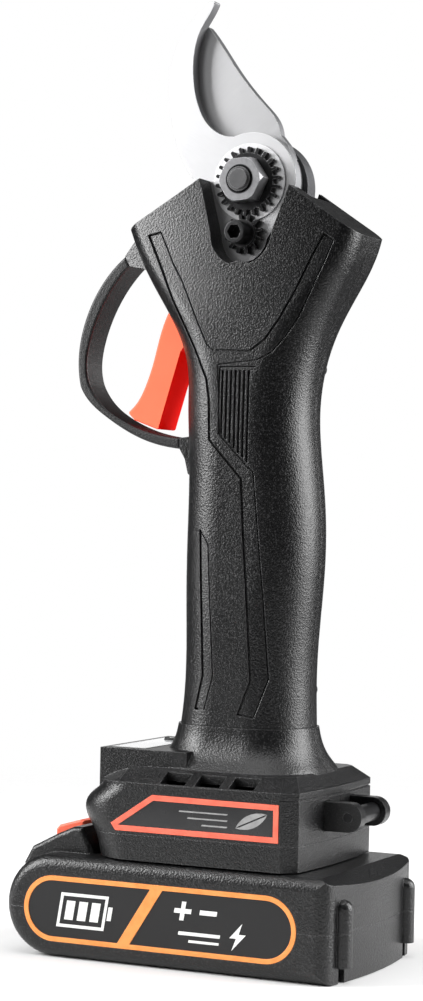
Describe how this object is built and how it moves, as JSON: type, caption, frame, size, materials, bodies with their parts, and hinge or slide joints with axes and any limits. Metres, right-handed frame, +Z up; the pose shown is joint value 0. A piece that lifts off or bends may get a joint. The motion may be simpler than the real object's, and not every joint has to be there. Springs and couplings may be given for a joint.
{
  "type": "battery electric pruner",
  "caption": "Cordless one-hand pruning shear: a hooked anvil blade and a geared cutting blade on a forked pistol grip, with a guarded trigger and a slide-off battery foot.",
  "frame": {"origin": "centre of the battery pack's flat underside, on which the tool stands", "axes": "+Z up along the grip to the blades, -X towards the trigger and its guard, -Y towards the side with the pivot nut"},
  "size_m": [0.1196, 0.0732, 0.3153],
  "materials": {
    "shell": "fine grained black nylon",
    "shell_dark": "black moulded plastic",
    "steel": "ground tool steel",
    "dark_steel": "blackened steel",
    "zinc": "zinc plated steel",
    "cast": "die cast alloy",
    "bronze": "sintered bronze",
    "copper": "tinned copper alloy",
    "trigger": "orange red plastic",
    "trim": "salmon trim",
    "amber": "orange trim",
    "badge": "gloss black panel",
    "window": "smoked display panel",
    "pcb": "circuit board",
    "magnet": "ferrite",
    "cell": "sleeved cell, near the real density",
    "insulator": "insulating plastic",
    "wire": "wire insulation"
  },
  "bodies": {
    "housing": {"hook_blade": "steel", "pivot_bush": "bronze", "pivot_bolt": "dark_steel", "pivot_nut": "zinc", "pivot_washer": "steel", "lock_disc": "dark_steel", "lock_gear": "dark_steel", "lock_screw": "dark_steel", "head_frame": "cast", "shaft_bearings": "zinc", "ring_gear": "shell_dark", "motor_can": "zinc", "motor_magnets": "magnet", "motor_end_cap": "shell_dark", "motor_leads": "wire", "control_board": "pcb", "trigger_sensor": "pcb", "trigger_pin": "steel", "trigger_spring": "zinc", "trigger_guard": "shell", "handle_shell_near": "shell", "handle_shell_far": "shell", "housing_screws": "dark_steel", "foot_shell_near": "shell", "foot_shell_far": "shell", "foot_badges": "badge", "foot_badge_trims": "trim", "rail_frame": "shell", "terminal_block": "insulator", "tool_terminals": "copper", "display_window": "window", "display_board": "pcb", "lanyard_bracket": "shell_dark", "lanyard_pin": "dark_steel"},
    "blade": {"cutting_blade": "steel"},
    "output_shaft": {"drive_pinion": "steel", "bevel_gear": "steel"},
    "carrier": {"bevel_pinion": "steel", "planet_carrier": "zinc", "planet_pins": "steel"},
    "planet_1": {"planet_gear_1": "steel"},
    "planet_2": {"planet_gear_2": "steel"},
    "planet_3": {"planet_gear_3": "steel"},
    "rotor": {"motor_rotor": "zinc", "sun_gear": "steel"},
    "trigger": {"trigger": "trigger", "trigger_magnet": "magnet"},
    "power_button": {"power_button": "shell_dark"},
    "battery": {"battery_case_top": "shell", "battery_case_bottom": "shell", "battery_screws": "dark_steel", "battery_cells": "cell", "cell_holders": "insulator", "cell_straps": "zinc", "battery_board": "pcb", "battery_terminals": "copper", "battery_labels": "badge", "battery_label_trims": "amber", "latch_spring": "zinc"},
    "latch": {"latch_button": "trim"}
  },
  "joints": [
    {"name": "blade_pivot", "type": "hinge", "parent": "housing", "child": "blade", "pos_m": [0.00905, 0, 0.2545], "axis": [0, 1, 0], "range_deg": [0, 55]},
    {"name": "output_spin", "type": "hinge", "parent": "housing", "child": "output_shaft", "pos_m": [0.00905, 0, 0.2215], "axis": [0, 1, 0], "range_deg": [-309, 1]},
    {"name": "carrier_spin", "type": "hinge", "parent": "housing", "child": "carrier", "pos_m": [0.00905, 0, 0.2], "axis": [0, 0, 1], "range_deg": [-617, 1]},
    {"name": "rotor_spin", "type": "hinge", "parent": "housing", "child": "rotor", "pos_m": [0.00905, 0, 0.155], "axis": [0, 0, 1], "range_deg": [-2465, 1]},
    {"name": "planet_spin_1", "type": "hinge", "parent": "carrier", "child": "planet_1", "pos_m": [0.00905, 0.0084, 0.19], "axis": [0, 0, 1], "range_deg": [-1, 1849]},
    {"name": "planet_spin_2", "type": "hinge", "parent": "carrier", "child": "planet_2", "pos_m": [0.00178, -0.0042, 0.19], "axis": [0, 0, 1], "range_deg": [-1, 1849]},
    {"name": "planet_spin_3", "type": "hinge", "parent": "carrier", "child": "planet_3", "pos_m": [0.01632, -0.0042, 0.19], "axis": [0, 0, 1], "range_deg": [-1, 1849]},
    {"name": "trigger_pull", "type": "hinge", "parent": "housing", "child": "trigger", "pos_m": [-0.0135, 0, 0.212], "axis": [0, -1, 0], "range_deg": [0, 9], "stiffness_Nm_per_rad": 0.8, "springref_deg": -8.59},
    {"name": "power_button_press", "type": "slide", "parent": "housing", "child": "power_button", "axis": [0, 0, -1], "range_m": [0, 0.0008], "stiffness_N_per_m": 400, "springref_m": -0.001},
    {"name": "battery_slide", "type": "slide", "parent": "housing", "child": "battery", "axis": [-1, 0, 0], "range_m": [0, 0.1]},
    {"name": "latch_press", "type": "slide", "parent": "battery", "child": "latch", "axis": [0, 0, -1], "range_m": [0, 0.003], "stiffness_N_per_m": 700, "springref_m": -0.003, "deforming": ["latch_spring"]}
  ],
  "couplings": [
    {"joint": "output_spin", "follows": "blade_pivot", "ratio": -5.6},
    {"joint": "carrier_spin", "follows": "blade_pivot", "ratio": -11.2},
    {"joint": "rotor_spin", "follows": "blade_pivot", "ratio": -44.8},
    {"joint": "planet_spin_1", "follows": "blade_pivot", "ratio": 33.6},
    {"joint": "planet_spin_2", "follows": "blade_pivot", "ratio": 33.6},
    {"joint": "planet_spin_3", "follows": "blade_pivot", "ratio": 33.6}
  ]
}
